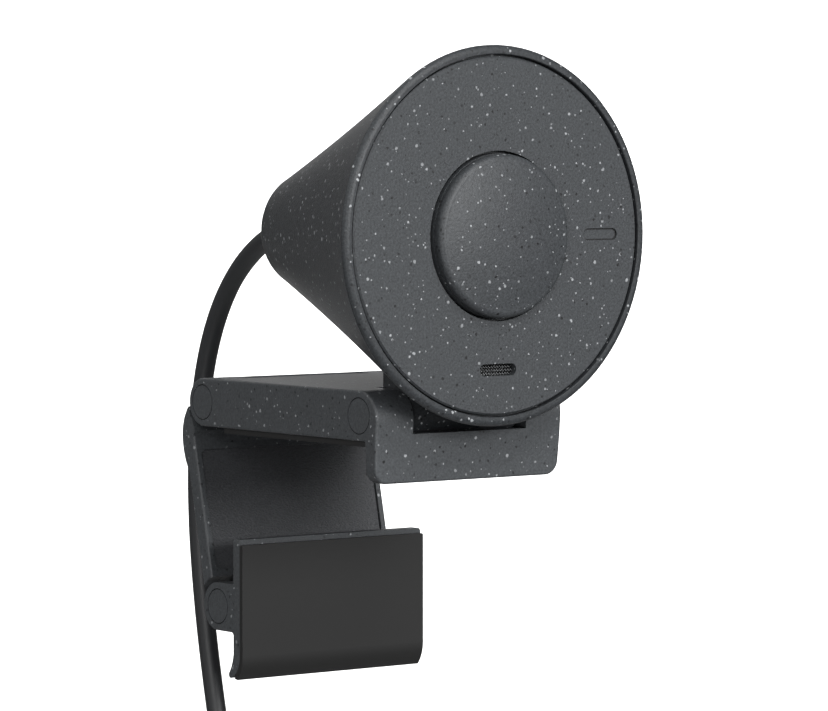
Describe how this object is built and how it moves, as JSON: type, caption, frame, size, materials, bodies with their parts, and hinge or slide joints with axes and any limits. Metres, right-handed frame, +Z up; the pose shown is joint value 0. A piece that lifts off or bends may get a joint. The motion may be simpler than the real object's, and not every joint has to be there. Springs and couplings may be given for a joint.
{
  "type": "webcam",
  "caption": "Webcam with a cone-shaped body, a turning privacy cover over the lens, a hanging USB cord and a folding clip that grips the top edge of a screen.",
  "frame": {"origin": "middle of the flat rubber face under the clip's arm, which rests on the top edge of the screen", "axes": "+X to the right as the user in front of the screen sees the camera, +Y away from that user (the lens looks along -Y), +Z up; shown with the clip open on a screen, as pictured"},
  "size_m": [0.053, 0.0788, 0.2112],
  "materials": {
    "housing_plastic": "fine-grained moulded plastic, graphite with light and dark flecks",
    "clip_plastic": "fine-grained moulded plastic, graphite with light and dark flecks",
    "rubber_pad": "smooth matte rubber",
    "panel_plastic": "fine spark-eroded grain, dark",
    "light_window": "thin translucent plastic, the body's colour when unlit",
    "black_plastic": "moulded black plastic",
    "mesh_steel": "fine woven mesh",
    "pin_steel": "ground steel",
    "screw_steel": "blackened steel",
    "board_green": "solder-masked circuit board",
    "chip_black": "moulded chip",
    "lens_glass": "coated lens",
    "gasket_foam": "closed-cell foam",
    "cord_jacket": "smooth matte cable jacket",
    "tie_plastic": "coated twist tie",
    "connector_steel": "nickel-plated steel"
  },
  "bodies": {
    "clip": {"clip_bracket": "clip_plastic", "bracket_liner": "rubber_pad", "tilt_pin": "pin_steel", "tilt_cap_left": "clip_plastic", "tilt_cap_right": "clip_plastic", "leg_pin": "pin_steel", "leg_cap_left": "clip_plastic", "leg_cap_right": "clip_plastic"},
    "camera": {"rear_housing": "housing_plastic", "front_plate": "housing_plastic", "led_window": "light_window", "led_board": "board_green", "mic_mesh": "mesh_steel", "mic_gasket": "gasket_foam", "mic_board": "board_green", "chassis": "black_plastic", "main_board": "board_green", "lens_holder": "black_plastic", "lens_barrel": "black_plastic", "lens_glass": "lens_glass", "image_sensor": "chip_black", "cord_socket": "black_plastic", "cord_gland": "rubber_pad", "inner_lead": "cord_jacket", "cord": "cord_jacket", "cord_coil": "cord_jacket", "cord_tie": "tie_plastic", "cord_tail": "cord_jacket", "plug_grip": "black_plastic", "plug_shell": "connector_steel", "board_screw_1": "screw_steel", "board_screw_2": "screw_steel", "board_screw_3": "screw_steel", "board_screw_4": "screw_steel"},
    "cover": {"privacy_cover": "housing_plastic", "cover_skirt": "housing_plastic", "cover_retainer": "black_plastic"},
    "leg": {"leg": "clip_plastic", "leg_panel": "panel_plastic"},
    "foot": {"foot_frame": "clip_plastic", "foot_pad": "rubber_pad", "foot_pin": "pin_steel", "foot_cap_left": "clip_plastic", "foot_cap_right": "clip_plastic"}
  },
  "joints": [
    {"name": "camera_tilt", "type": "hinge", "parent": "clip", "child": "camera", "pos_m": [0, -0.01627, 0.00432], "axis": [1, 0, 0], "range_deg": [-7, 20]},
    {"name": "cover_turn", "type": "hinge", "parent": "camera", "child": "cover", "pos_m": [0, -0.026, 0.02925], "axis": [0, 1, 0], "range_deg": [0, 90]},
    {"name": "leg_fold", "type": "hinge", "parent": "clip", "child": "leg", "pos_m": [0, 0.02224, 0.00432], "axis": [1, 0, 0], "range_deg": [-48, 25]},
    {"name": "foot_swivel", "type": "hinge", "parent": "leg", "child": "foot", "pos_m": [0, 0.01847, -0.02524], "axis": [1, 0, 0], "range_deg": [-30, 15]}
  ]
}
